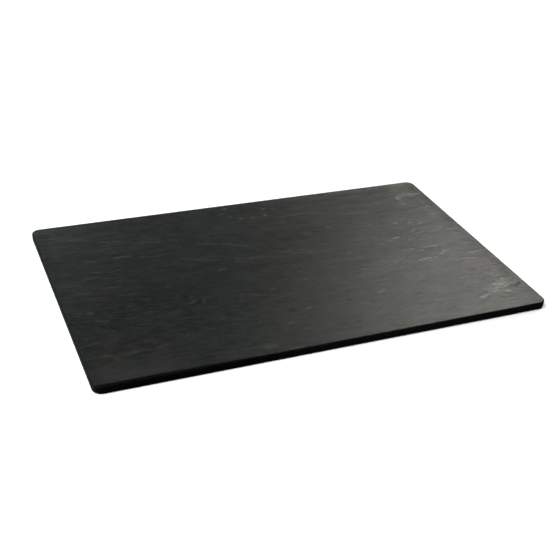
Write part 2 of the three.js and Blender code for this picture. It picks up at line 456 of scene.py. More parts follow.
    # Wide areas where small facets get painted highlights
    painted_glint_areas: tuple[Mark, ...] = (
        Mark(205, -6, 190, 210, 0, 1.0),
        Mark(-205, -30, 150, 260, 0, 0.22),
        Mark(40, -40, 360, 240, 0, 0.16),
        Mark(8, 136, 90, 44, 0, 0.4),
    )
    rough: tuple[Mark, ...] = (
        Mark(-200, -60, 300, 330, 0, 0.6),
        Mark(-120, 110, 360, 180, 0, 0.9),
        Mark(225, -110, 160, 160, 0, 0.8),
        Mark(120, -150, 260, 80, 0, 0.5),
    )
    stained: tuple[Mark, ...] = (
        Mark(-215, -120, 170, 190, 0, 1.0),
        Mark(-220, 20, 120, 160, 0, 0.8),
        Mark(60, -130, 300, 120, 0, 0.5),
        Mark(225, -40, 160, 330, 0, 0.8),
    )
    dull: tuple[Mark, ...] = (
        Mark(-215, -60, 340, 230, 0, 1.0),
        Mark(205, 95, 180, 150, 0, 0.35),
        Mark(-220, 30, 200, 170, 0, 0.6),
        Mark(178, 15, 130, 130, 0, 0.35),
    )
    glossy: tuple[Stroke, ...] = strokes(
        (70, 1, (-50, 160), (110, 160)), (34, 0.7, (-265, 162), (265, 162)),
        (150, 0.5, (-80, 140), (0, 110), (90, 140)), (50, 0.6, (-250, -150), (-200, -150)),
    )
    calm: tuple[Stroke, ...] = strokes(
        (270, 1, (110, -90), (200, 50)),
    )
    # Painted shade along the front edge: a black band with almost no reflection
    painted_shade: tuple[Stroke, ...] = strokes(
        (13.5, 1, (-265, -163.2), (-215, -163.2), (-150, -164.2), (-90, -165.6), (-30, -168)),
    )
    wander_mm: float = 1.4
    wander_size_mm: float = 7.0
    wander_seed: int = 1

    def draw(self, board: Object) -> None:
        """Store the marks on the board's points, each kind as an attribute from 0 to 1.

        Args:
            board: the board's mesh object.
        """
        mesh = board.data
        places = np.empty(len(mesh.vertices) * 3)
        mesh.vertices.foreach_get("co", places)
        flat = places.reshape(-1, 3)[:, :2]
        waves = flat / (self.wander_size_mm * MM)
        noise.seed_set(self.wander_seed)
        stray = np.array([noise.noise_vector((x, y, 0.0))[:2] for x, y in waves])
        strayed = flat + stray * self.wander_mm * MM
        for name in ("worn_and_glinting", "sunk_and_shaded", "painted_glint_areas", "rough", "stained", "dull", "glossy", "calm", "painted_shade"):
            where = flat if name == "painted_shade" else strayed
            level = np.zeros(len(flat))
            for mark in getattr(self, name):
                inside = mark.inside(where)
                level = np.maximum(level, mark.strength * inside * inside * (3 - 2 * inside))
            layer = mesh.attributes.new(name, "FLOAT", "POINT")
            layer.data.foreach_set("value", level.astype(np.float32))


@dataclass(frozen=True)
class FaceMasks:
    """The sockets of the face's patterns, which its colour, shine and relief share.

    Attributes:
        place: the board's own coordinates.
        grain: the streaks along the board.
        fine_grain: the finer streaks.
        patches: wider patches that shine less.
        wear_and_highlight: what is painted pale, partly wear and partly painted highlight.
        sunk_and_shaded: the hollows and crevices, sunk in the relief and painted with shade.
        painted_shade: the painted shade along the front edge.
    """

    place: NodeSocket
    grain: NodeSocket
    fine_grain: NodeSocket
    patches: NodeSocket
    wear_and_highlight: NodeSocket
    sunk_and_shaded: NodeSocket
    painted_shade: NodeSocket


@dataclass(frozen=True)
class SlateLookMelamine:
    """Melamine pressed against a mould that was taken from split slate, over a dark print.

    The eye gets a satin black with a soft, wide reflection, streaked along the board, which breaks
    up over the riven relief, with thin dark crevices in painted shade, pale ridges and glints that
    are partly wear and partly painted highlight, a few scuffs, and painted shade along the front edge.
    """

    dark: str = "#060b0a"
    body: str = "#1c2120"
    warm: str = "#231f1c"
    # The pale of the wear and of the painted highlights
    pale: str = "#525350"
    # The black of the painted shade, in the hollows and along the front edge
    painted_shade: str = "#060707"
    ior: float = 1.55
    roughness_low: float = 0.41
    roughness_high: float = 0.445
    fine_share: float = 0.3
    cloud_share: float = 0.35
    grain_height_mm: float = 0.036
    fine_height_mm: float = 0.016
    grit_height_mm: float = 0.004
    ledge_height_mm: float = 0.05
    crevice_depth_mm: float = 0.06
    ridge_height_mm: float = 0.05
    clouds: Streaks = Streaks(60, 34, -14, 3, 0.6, 0, 0.35, 0.65)
    tint: Streaks = Streaks(30, 14, 12, 3, 0.6, 410, 0.42, 0.60)
    patches: Streaks = Streaks(30, 13, 3, 4, 0.6, 220, 0.34, 0.66)
    grain: Streaks = Streaks(14, 4.6, -4.5, 4, 0.64, 0, 0.40, 0.60)
    fine_grain: Streaks = Streaks(5.4, 1.4, -2, 3, 0.6, 130)
    grit: Streaks = Streaks(1.6, 0.7, 0, 1, 0.5, 70)
    low_ledges: Streaks = Streaks(46, 10, -5, 5, 0.6, 330, 0.42, 0.46)
    high_ledges: Streaks = Streaks(46, 10, -5, 5, 0.6, 330, 0.54, 0.58)
    splits: Streaks = Streaks(40, 7, -5, 4, 0.62, 615, 0.47, 0.53)
    split_breaks: Streaks = Streaks(24, 10, 10, 2, 0.6, 90, 0.46, 0.60)
    # Finer crests with painted highlights
    crests: Streaks = Streaks(36, 6, -6, 4, 0.6, 835, 0.47, 0.53)
    worn_breaks: Streaks = Streaks(5, 1.6, -3, 3, 0.75, 250, 0.32, 0.54)
    sunk_breaks: Streaks = Streaks(5, 1.6, -3, 3, 0.75, 250, 0.30, 0.50)
    # Small facets with painted highlights
    painted_glints: Streaks = Streaks(13, 1.7, 5, 3, 0.6, 505, 0.63, 0.68)
    crest_share: float = 0.29
    painted_glint_share: float = 0.5
    specular_low: float = 0.485
    specular_high: float = 0.515
    # The reflection level in the painted shade of the hollows
    specular_sunk: float = 0.2
    specular_raised: float = 1.0
    # The reflection level in the painted shade along the front edge
    specular_in_painted_shade: float = 0.03
    band_mm: tuple[float, float] = (244.0, 256.0)
    band_share: float = 0.5
    dulling: float = 0.5
    glossing: float = 0.7
    calming: float = 0.3

    def build(self) -> Material:
        """Make the material."""
        material = new_material("slate_look_melamine")
        tree = material.node_tree
        place = add_node(tree, "ShaderNodeTexCoord").outputs["Object"]
        masks = FaceMasks(
            place=place,
            grain=self.grain.add(tree, place),
            fine_grain=self.fine_grain.add(tree, place),
            patches=self.patches.add(tree, place),
            wear_and_highlight=self._wear_and_highlight(tree, place),
            sunk_and_shaded=self._sunk_and_shaded(tree, place),
            painted_shade=painted_edge_shade(tree),
        )
        sheen = add_node(tree, "ShaderNodeMix", inputs={
            "Factor": self.fine_share,
            "A": masks.patches,
            "B": masks.fine_grain,
        })
        roughness = add_node(tree, "ShaderNodeMapRange", inputs={
            "Value": sheen.outputs["Result"],
            "To Min": self.roughness_low,
            "To Max": self.roughness_high,
        })
        heights = (
            (masks.grain, self.grain_height_mm),
            (masks.fine_grain, self.fine_height_mm),
            (self.grit.add(tree, place), self.grit_height_mm),
            (self.low_ledges.add(tree, place), self.ledge_height_mm),
            (self.high_ledges.add(tree, place), self.ledge_height_mm),
            (masks.sunk_and_shaded, -self.crevice_depth_mm),
            (masks.wear_and_highlight, self.ridge_height_mm),
        )
        calm = add_node(tree, "ShaderNodeAttribute", {"attribute_name": "calm"})
        kept = add_node(tree, "ShaderNodeMapRange", inputs={
            "Value": calm.outputs["Fac"],
            "To Min": 1.0,
            "To Max": 1.0 - self.calming,
        })
        shader = add_node(tree, "ShaderNodeBsdfPrincipled", inputs={
            "Base Color": self._colour(tree, masks),
            "Roughness": roughness.outputs["Result"],
            "IOR": self.ior,
            "Specular IOR Level": self._specular(tree, masks),
            "Normal": relief(tree, heights, kept.outputs["Result"]),
        })
        add_node(tree, "ShaderNodeOutputMaterial", inputs={"Surface": shader.outputs["BSDF"]})
        return material

    def _wear_and_highlight(self, tree: NodeTree, place: NodeSocket) -> NodeSocket:
        """Add the pale marks: the drawn marks, finer crests and small facets, partly wear and partly
        painted highlight.

        Args:
            tree: the material's node tree.
            place: the board's own coordinates.

        Returns:
            A mask from 0 to 1.
        """
        return drawn(tree, {
            "worn_and_glinting": self.worn_breaks.add(tree, place),
            "rough": self.crests.add_outlines(tree, place, self.crest_share),
            "painted_glint_areas": self.painted_glints.add(tree, place, self.painted_glint_share),
        })

    def _sunk_and_shaded(self, tree: NodeTree, place: NodeSocket) -> NodeSocket:
        """Add the painted shade: the drawn hollows and finer crevices, which come and go; they are also
        sunk.

        Args:
            tree: the material's node tree.
            place: the board's own coordinates.

        Returns:
            A mask from 0 to 1.
        """
        crevices = add_node(tree, "ShaderNodeMath", {"operation": "MULTIPLY"}, {
            0: self.splits.add_outlines(tree, place),
            1: self.split_breaks.add(tree, place),
        })
        return drawn(tree, {"rough": crevices.outputs[0], "sunk_and_shaded": self.sunk_breaks.add(tree, place)})

    def _colour(self, tree: NodeTree, masks: FaceMasks) -> NodeSocket:
        """Add the colour: dark print streaks, warm patches, pale wear and painted highlights, painted
        shade.

        Args:
            tree: the material's node tree.
            masks: the face's patterns.

        Returns:
            The colour's socket.
        """
        shade = add_node(tree, "ShaderNodeMix", inputs={
            "Factor": self.cloud_share,
            "A": masks.grain,
            "B": self.clouds.add(tree, masks.place),
        })
        # Painted shade in the hollows and along the front edge; pale marks that are partly wear and partly
        # painted highlight
        steps = (
            (shade.outputs["Result"], self.body),
            (drawn(tree, {"stained": self.tint.add(tree, masks.place)}), self.warm),
            (masks.sunk_and_shaded, self.painted_shade),
            (masks.wear_and_highlight, self.pale),
            (masks.painted_shade, self.painted_shade),
        )
        colour: object = linear(self.dark)
        for share, paint in steps:
            colour = add_node(tree, "ShaderNodeMix", {"data_type": "RGBA"}, {
                MIX_FACTOR: share,
                MIX_A: colour,
                MIX_B: linear(paint),
            }).outputs[MIX_RESULT]
        return colour

    def _specular(self, tree: NodeTree, masks: FaceMasks) -> NodeSocket:
        """Add how strongly the face reflects, by its patches, its wide areas and its marks.

        Args:
            tree: the material's node tree.
            masks: the face's patterns.

        Returns:
            The level's socket.
        """
        patched = add_node(tree, "ShaderNodeMapRange", inputs={
            "Value": masks.patches,
            "To Min": self.specular_high,
            "To Max": self.specular_low,
        })
        dull = add_node(tree, "ShaderNodeAttribute", {"attribute_name": "dull"})
        duller = add_node(tree, "ShaderNodeMath", {"operation": "MAXIMUM"}, {
            0: dull.outputs["Fac"],
            1: self._band(tree, masks.place),
        })
        dulled = add_node(tree, "ShaderNodeMapRange", inputs={
            "Value": duller.outputs[0],
            "To Min": 1.0,
            "To Max": 1.0 - self.dulling,
        })
        glossy = add_node(tree, "ShaderNodeAttribute", {"attribute_name": "glossy"})
        glossed = add_node(tree, "ShaderNodeMath", {"operation": "MULTIPLY_ADD"}, {
            0: glossy.outputs["Fac"],
            1: self.glossing,
            2: dulled.outputs["Result"],
        })
        level = add_node(tree, "ShaderNodeMath", {"operation": "MULTIPLY"}, {
            0: patched.outputs["Result"],
            1: glossed.outputs[0],
        }).outputs[0]
        # Less reflection in the painted shade of the hollows, more on the pale marks, almost none in the
        # painted shade along the front edge
        steps = (
            (masks.sunk_and_shaded, self.specular_sunk),
            (masks.wear_and_highlight, self.specular_raised),
            (masks.painted_shade, self.specular_in_painted_shade),
        )
        for share, marked in steps:
            level = add_node(tree, "ShaderNodeMapRange", inputs={
                "Value": share,
                "To Min": level,
                "To Max": marked,
            }).outputs["Result"]
        return level

    def _band(self, tree: NodeTree, place: NodeSocket) -> NodeSocket:
        """Add the duller bands along the short ends.

        Args:
            tree: the material's node tree.
            place: the board's own coordinates.

        Returns:
            A mask that rises to the bands' share of the full dulling.
        """
        apart = add_node(tree, "ShaderNodeSeparateXYZ", inputs={0: place})
        distance = add_node(tree, "ShaderNodeMath", {"operation": "ABSOLUTE"}, {0: apart.outputs["X"]})
        start, full = self.band_mm
        band = add_node(tree, "ShaderNodeMapRange", {"interpolation_type": "SMOOTHSTEP"}, {
            "Value": distance.outputs[0],
            "From Min": start * MM,
            "From Max": full * MM,
            "To Max": self.band_share,
        })
        return band.outputs["Result"]


@dataclass(frozen=True)
class MouldedMelamine:
    """Plain black melamine as it leaves a polished steel mould: the wall and the underside.

    The eye gets an even, deep black with a dull sheen and a faint mottle where the powder flowed.
    """

    body: str = "#0c0c0c"
    flow: str = "#131313"
    ior: float = 1.55
    specular: float = 0.2
    # The reflection level where the painted shade along the front edge reaches the arris and wall
    specular_in_painted_shade: float = 0.03
    roughness_low: float = 0.42
    roughness_high: float = 0.56
    mottle: Streaks = Streaks(16, 12, 25, 3, 0.6, 0, 0.35, 0.65)
    peel: Streaks = Streaks(1.8, 1.8, 0, 1, 0.5)
    peel_height_mm: float = 0.004

    def build(self) -> Material:
        """Make the material."""
        material = new_material("moulded_black_melamine")
        tree = material.node_tree
        place = add_node(tree, "ShaderNodeTexCoord").outputs["Object"]
        mottle = self.mottle.add(tree, place)
        colour = add_node(tree, "ShaderNodeMix", {"data_type": "RGBA"}, {
            MIX_FACTOR: mottle,
            MIX_A: linear(self.body),
            MIX_B: linear(self.flow),
        })
        roughness = add_node(tree, "ShaderNodeMapRange", inputs={
            "Value": mottle,
            "To Min": self.roughness_low,
            "To Max": self.roughness_high,
        })
        # Almost no reflection under the painted shade along the front edge
        specular = add_node(tree, "ShaderNodeMapRange", inputs={
            "Value": painted_edge_shade(tree),
            "To Min": self.specular,
            "To Max": self.specular_in_painted_shade,
        })
        shader = add_node(tree, "ShaderNodeBsdfPrincipled", inputs={
            "Base Color": colour.outputs[MIX_RESULT],
            "Roughness": roughness.outputs["Result"],
            "IOR": self.ior,
            "Specular IOR Level": specular.outputs["Result"],
            "Normal": relief(tree, ((self.peel.add(tree, place), self.peel_height_mm),)),
        })
        add_node(tree, "ShaderNodeOutputMaterial", inputs={"Surface": shader.outputs["BSDF"]})
        return material


@dataclass(frozen=True)
class Silicone:
    """Black silicone rubber from a matt mould.

    The eye gets a soft dark grey with no clear reflection, and a little dust on it.
    """

    body: str = "#191919"
    dust: str = "#3a3937"
    ior: float = 1.43
    roughness: float = 0.72
    sheen: float = 0.15
    specks: Streaks = Streaks(0.9, 0.7, 0, 2, 0.6, 0, 0.55, 0.80)
    skin: Streaks = Streaks(0.4, 0.4, 0, 1, 0.5)
    skin_height_mm: float = 0.006

    def build(self) -> Material:
        """Make the material."""
        material = new_material("black_silicone")
        tree = material.node_tree
        place = add_node(tree, "ShaderNodeTexCoord").outputs["Object"]
        colour = add_node(tree, "ShaderNodeMix", {"data_type": "RGBA"}, {
            MIX_FACTOR: self.specks.add(tree, place),
            MIX_A: linear(self.body),
            MIX_B: linear(self.dust),
        })
        shader = add_node(tree, "ShaderNodeBsdfPrincipled", inputs={
            "Base Color": colour.outputs[MIX_RESULT],
            "Roughness": self.roughness,
            "IOR": self.ior,
            "Sheen Weight": self.sheen,
            "Normal": relief(tree, ((self.skin.add(tree, place), self.skin_height_mm),)),
        })
        add_node(tree, "ShaderNodeOutputMaterial", inputs={"Surface": shader.outputs["BSDF"]})
        return material


class Finish(Enum):
    """Which of its piece's finishes a face has, by material slot."""

    MAIN = 0
    MOULDED = 1


class Mould(Enum):
    """The noise that a relief layer is pressed from."""

    STEPS = "CLOUDS"
    SPLITS = "MUSGRAVE"


@dataclass(frozen=True)
class ReliefLayer:
    """One layer of the riven relief, as a procedural height that sinks the face.

    Attributes:
        name: what the layer is.
        mould: the noise that it is pressed from.
        length_mm: a form's length along the board.
        width_mm: a form's width across the board.
        turn_deg: the turn away from the board's long side, anticlockwise from above.
        depth_mm: from the highest place to the lowest.
        detail: how many finer layers it has.
        steps: the noise levels at which the height jumps, or none where it runs smoothly.
        slope: half the width of a jump, in noise levels.
        split_gain: the strength of the noise that splits are pressed from.
    """

    name: str
    mould: Mould
    length_mm: float
    width_mm: float
    turn_deg: float
    depth_mm: float
    detail: int
    steps: tuple[float, ...] = ()
    slope: float = 0.012
    split_gain: float = 0.5

    def press(self, piece: Object, group: str) -> None:
        """Sink the piece's face by this layer.

        Args:
            piece: the mesh object.
            group: the vertex group that says how deep the layer goes in.
        """
        height = bpy.data.textures.new(self.name, type=self.mould.value)
        height.noise_scale = 1.0
        if self.mould is Mould.SPLITS:
            height.musgrave_type = "RIDGED_MULTIFRACTAL"
            height.octaves = self.detail
            height.noise_intensity = self.split_gain
        else:
            height.noise_depth = self.detail
        if self.steps:
            self._cut_steps(height)
        place = bpy.data.objects.new(f"{self.name}_place", None)
        bpy.context.collection.objects.link(place)
        place.scale = (self.length_mm * MM, self.width_mm * MM, self.width_mm * MM)
        place.rotation_euler = (0.0, 0.0, math.radians(self.turn_deg))
        bpy.context.view_layer.update()
        modifier = piece.modifiers.new(self.name, "DISPLACE")
        modifier.texture = height
        modifier.texture_coords = "OBJECT"
        modifier.texture_coords_object = place
        modifier.direction = "Z"
        modifier.mid_level = 1.0
        modifier.strength = self.depth_mm * MM
        modifier.vertex_group = group
        bpy.ops.object.modifier_apply(modifier=modifier.name)
        bpy.data.objects.remove(place)

    def _cut_steps(self, height: Texture) -> None:
        """Turn a smooth height into terraces with short slopes between them."""
        height.use_color_ramp = True
        ramp = height.color_ramp
        ramp.elements[0].color = (0.0, 0.0, 0.0, 1.0)
        ramp.elements[0].position = 0.0
        ramp.elements[1].color = (1.0, 1.0, 1.0, 1.0)
        ramp.elements[1].position = 1.0
        for number, level in enumerate(self.steps):
            for side in (0, 1):
                share = (number + side) / len(self.steps)
                stop = ramp.elements.new(level + (2 * side - 1) * self.slope)
                stop.color = (share, share, share, 1.0)


@dataclass(frozen=True)
class Ring:
    """One turn of the board's edge: a rounded rectangle at a height.

    Attributes:
        half_length: from the centre to the straight ends.
        half_width: from the centre to the straight sides.
        radius: of the corners.
        height: above the table.
    """

    half_length: float
    half_width: float
    radius: float
    height: float

    def onto(self, other: "Ring", point: Vector) -> Vector:
        """Move a point of this ring to the same place along another ring.

        Args:
            other: the ring to move to.
            point: the point, on this ring.

        Returns:
            The point on the other ring.
        """
        across = (self.half_length - self.radius, self.half_width - self.radius)
        core = [min(1.0, max(-1.0, point[i] / across[i])) for i in (0, 1)]
        outward = Vector([point[i] - core[i] * across[i] for i in (0, 1)]).normalized()
        x = core[0] * (other.half_length - other.radius) + outward.x * other.radius
        y = core[1] * (other.half_width - other.radius) + outward.y * other.radius
        return Vector((x, y, other.height))

    def distance_inside(self, x: float, y: float) -> float:
        """Say how far a point lies inside the ring, seen from above."""
        side = abs(x) - (self.half_length - self.radius)
        back = abs(y) - (self.half_width - self.radius)
        return self.radius - math.hypot(max(side, 0.0), max(back, 0.0)) - min(max(side, back), 0.0)


def arc(
    centre: tuple[float, float], radius: float, start: float, end: float, steps: int
) -> list[tuple[float, float]]:
    """Give the points of an arc in a section.

    Args:
        centre: the arc's centre, sideways and up.
        radius: its radius.
        start: the angle of its first point, in degrees.
        end: the angle of its last point, in degrees.
        steps: how many chords it has.

    Returns:
        The points, with both ends.
    """
    angles = [math.radians(start + (end - start) * step / steps) for step in range(steps + 1)]
    return [(centre[0] + radius * math.cos(a), centre[1] + radius * math.sin(a)) for a in angles]


def on_circle(point: Vector, centre: Vector, radius: float, height: float) -> Vector:
    """Move a point straight out or in to a circle about an upright axis.

    Args:
        point: the point to move.
        centre: a point of the axis.
        radius: the circle's radius.
        height: the circle's height.

    Returns:
        The point on the circle.
    """
    out = (point - centre).xy.normalized() * radius
    return Vector((centre.x + out.x, centre.y + out.y, height))


def select_open_edges() -> None:
    """Select the edges that bound the surface in edit mode."""
    bpy.ops.mesh.select_mode(type="EDGE")
    bpy.ops.mesh.select_all(action="DESELECT")
    mesh = bmesh.from_edit_mesh(bpy.context.object.data)
    for edge in mesh.edges:
        if len(edge.link_faces) < 2:
            edge.select_set(True)
    bmesh.update_edit_mesh(bpy.context.object.data)


def extrude_open_edges(move: Callable[[Vector], Vector], finish: Finish = Finish.MAIN) -> None:
    """Extrude the edges that bound the surface in edit mode.

    Args:
        move: gives a new point's place from the place that it was extruded from.
        finish: the finish of the new faces.
    """
    select_open_edges()
    bpy.ops.mesh.extrude_edges_move()
    mesh = bmesh.from_edit_mesh(bpy.context.object.data)
    for vertex in mesh.verts:
        if vertex.select:
            vertex.co = move(vertex.co)
    for edge in mesh.edges:
        if len(edge.link_faces) < 2:
            edge.link_faces[0].material_index = finish.value
    bmesh.update_edit_mesh(bpy.context.object.data)


def fill_open_edges(finish: Finish) -> None:
    """Close the surface between the edges that bound it in edit mode.

    Args:
        finish: the finish of the new faces.
    """
    select_open_edges()
    bpy.ops.mesh.fill(use_beauty=True)
    mesh = bmesh.from_edit_mesh(bpy.context.object.data)
    for face in mesh.faces:
        if face.select:
            face.material_index = finish.value
    bmesh.update_edit_mesh(bpy.context.object.data)


@dataclass
class MelamineBoard:
    """The board: one press moulding, flat on top, hollow underneath, with four bosses for feet.

    Lengths are in metres. The outline, the heights and the feet's places come from the frame.
    """

    low: Vector
    high: Vector
    feet: list[Vector]
    foot_radius: float
    foot_top: float
    corner_radius: float = 0.010
    arris_radius: float = 0.0015
    heel_radius: float = 0.001
    wall_draft_deg: float = 3.0
    plate_thickness: float = 0.005
    rim_land: float = 0.0046
    lip_radius: float = 0.0008
    recess_draft_deg: float = 12.0
    recess_fillet: float = 0.0024
    recess_corner_radius: float = 0.009
    boss_setback: float = 0.0009
    boss_wall: float = 0.0036
    boss_draft_deg: float = 8.0
    boss_fillet: float = 0.0014
    socket_chamfer: float = 0.0005
    socket_clearance: float = 0.0003
    bond_thickness: float = 0.0003
    roll_off_depth: float = 0.00005
    roll_off_width: float = 0.010
    relief_fade: float = 0.004
    cell_length: float = 0.0020
    cell_width: float = 0.0012
    turn_steps: int = 48
    arris_steps: int = 5
    heel_steps: int = 4
    lip_steps: int = 3
    fillet_steps: int = 4
    smooth_angle_deg: float = 30.0
    relief_group: str = "riven_face"
    marks: FaceMarks = FaceMarks()
    relief: tuple[ReliefLayer, ...] = field(default_factory=lambda: (
        ReliefLayer("cleavage_steps", Mould.STEPS, 70, 20, -5, 0.18, 3, (0.38, 0.47, 0.56)),
        ReliefLayer("long_splits", Mould.SPLITS, 60, 14, -4, 0.06, 3),
        ReliefLayer("coarse_grain", Mould.STEPS, 30, 6, -5, 0.04, 3),
    ))

    def build(self) -> Object:
        """Model the board.

        Returns:
            The board's mesh object, closed, in place and facing outwards.
        """
        self._add_face()
        start = self._face_edge()
        for number, ring in enumerate(self._outer_edge() + self._inner_edge()):
            extrude_open_edges(partial(start.onto, ring), Finish.MOULDED if number else Finish.MAIN)
            start = ring
        self._fill_plate()
        self._extrude_bosses()
        bpy.ops.mesh.select_all(action="SELECT")
        bpy.ops.mesh.normals_make_consistent(inside=False)
        bpy.ops.object.mode_set(mode="OBJECT")
        board = bpy.context.object
        for layer in self.relief:
            layer.press(board, self.relief_group)
        self.marks.draw(board)
        bpy.ops.object.shade_smooth_by_angle(angle=math.radians(self.smooth_angle_deg))
        return board

    def dress(self, board: Object) -> None:
        """Give the face and the moulded rest their finishes, and put the board in the frame."""
        board.data.materials.append(SlateLookMelamine().build())
        board.data.materials.append(MouldedMelamine().build())
        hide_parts("melamine_board")
        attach(board, BODY)

    def _ring(self, inset: float, height: float, radius: float) -> Ring:
        """Give the ring at an inset from the board's widest outline."""
        return Ring(self.high.x - inset, self.high.y - inset, radius, height)

    def _face_edge(self) -> Ring:
        """Give the ring where the face meets the arris."""
        inset = self.arris_radius
        return self._ring(inset, self.high.z - self.roll_off_depth, self.corner_radius - inset)

    def _outer_edge(self) -> list[Ring]:
        """Give the rings from the arris down the wall and round the heel to the rim's underside."""
        top = self.high.z
        centre = (self.arris_radius, top - self.arris_radius)
        arris = [
            (inset, min(height, top - self.roll_off_depth))
            for inset, height in arc(centre, self.arris_radius, 90, 180, self.arris_steps)
        ]
        centre = (self._heel_inset(), self.low.z + self.heel_radius)
        section = arris[1:] + arc(centre, self.heel_radius, 180, 270, self.heel_steps)
        return [self._ring(inset, height, self.corner_radius - inset) for inset, height in section]

    def _heel_inset(self) -> float:
        """Give the inset of the heel's centre, by the wall's draft."""
        wall = self.high.z - self.low.z - self.arris_radius - self.heel_radius
        return wall * math.tan(math.radians(self.wall_draft_deg)) + self.heel_radius

    def _inner_edge(self) -> list[Ring]:
        """Give the rings over the lip and up the recess's wall and fillet to the plate."""
        lip_inset = self._heel_inset() + self.rim_land
        depth = self._plate_underside() - self.low.z
        wall = depth - self.lip_radius - self.recess_fillet
        lip = arc((lip_inset, self.low.z + self.lip_radius), self.lip_radius, -90, 0, self.lip_steps)
        lean = wall * math.tan(math.radians(self.recess_draft_deg))
        centre = (
            lip_inset + self.lip_radius + lean + self.recess_fillet,
            self._plate_underside() - self.recess_fillet,
        )
        turn = arc(centre, self.recess_fillet, 180, 90, self.fillet_steps)
        return [
            self._ring(inset, height, self.recess_corner_radius - (inset - lip_inset))
            for inset, height in lip + turn
        ]

    def _plate_underside(self) -> float:
        """Give the height of the plate's underside."""
        return self.high.z - self.plate_thickness

    def _add_face(self) -> None:
        """Add the serving face as a fine grid with rounded corners and a slight roll-off."""
        edge = self._face_edge()
        bpy.ops.mesh.primitive_grid_add(
            x_subdivisions=round(2 * edge.half_length / self.cell_length),
            y_subdivisions=round(2 * edge.half_width / self.cell_width),
            size=1.0,
            location=(0.0, 0.0, 0.0),
        )
        board = bpy.context.object
        board.name = board.data.name = "riven_melamine_board"
        group = board.vertex_groups.new(name=self.relief_group)
        for vertex in board.data.vertices:
            vertex.co = self._rounded(vertex.co.x * 2, vertex.co.y * 2, edge)
            inside = edge.distance_inside(vertex.co.x, vertex.co.y)
            roll = 1 - smoothstep(inside / self.roll_off_width)
            vertex.co.z = self.high.z - self.roll_off_depth * roll
            group.add([vertex.index], smoothstep(inside / self.relief_fade), "REPLACE")
        bpy.ops.object.mode_set(mode="EDIT")

    def _rounded(self, u: float, v: float, edge: Ring) -> Vector:
        """Map a point of a square onto the rounded face.

        Args:
            u: the place along the board, from -1 to 1.
            v: the place across the board, from -1 to 1.
            edge: the face's outline.

        Returns:
            The point, at the outline's height.
        """
        core = (edge.half_length - edge.radius, edge.half_width - edge.radius)
        x, y = abs(u) * edge.half_length, abs(v) * edge.half_width
        side, back = (x - core[0]) / edge.radius, (y - core[1]) / edge.radius
        if side > 0 and back > 0:
            x = core[0] + edge.radius * side * math.sqrt(1 - back * back / 2)
            y = core[1] + edge.radius * back * math.sqrt(1 - side * side / 2)
        return Vector((math.copysign(x, u), math.copysign(y, v), edge.height))

    def _fill_plate(self) -> None:
        """Close the recess with the plate's underside, left open where the bosses stand."""
        root, height = self._boss_section()[0]
        for foot in self.feet:
            bpy.ops.mesh.primitive_circle_add(
                vertices=self.turn_steps, radius=root, location=(foot.x, foot.y, height)
            )
        fill_open_edges(Finish.MOULDED)

    def _boss_section(self) -> list[tuple[float, float]]:
        """Give a boss and its socket in section, as radii and heights from the plate inwards."""
        face = self.low.z + self.boss_setback
        plate = self._plate_underside()
        socket = self.foot_radius + self.socket_clearance
        mouth = socket + self.socket_chamfer
        face_radius = mouth + self.boss_wall
        root = face_radius + (plate - self.boss_fillet - face) * math.tan(math.radians(self.boss_draft_deg))
        centre = (root + self.boss_fillet, plate - self.boss_fillet)
        flare = arc(centre, self.boss_fillet, 90, 180, self.fillet_steps)
        floor = self.foot_top + self.bond_thickness
        return flare + [
            (face_radius, face),
            (mouth, face),
            (socket, face + self.socket_chamfer),
            (socket, floor),
        ]

    def _extrude_bosses(self) -> None:
        """Extrude the four bosses out of the plate and the sockets into them."""
        for radius, height in self._boss_section()[1:]:
            extrude_open_edges(
                lambda point: on_circle(point, self._nearest_foot(point), radius, height), Finish.MOULDED
            )
        fill_open_edges(Finish.MOULDED)

    def _nearest_foot(self, point: Vector) -> Vector:
        """Give the place of the foot nearest to a point."""
        return min(self.feet, key=lambda foot: (foot - point).xy.length)


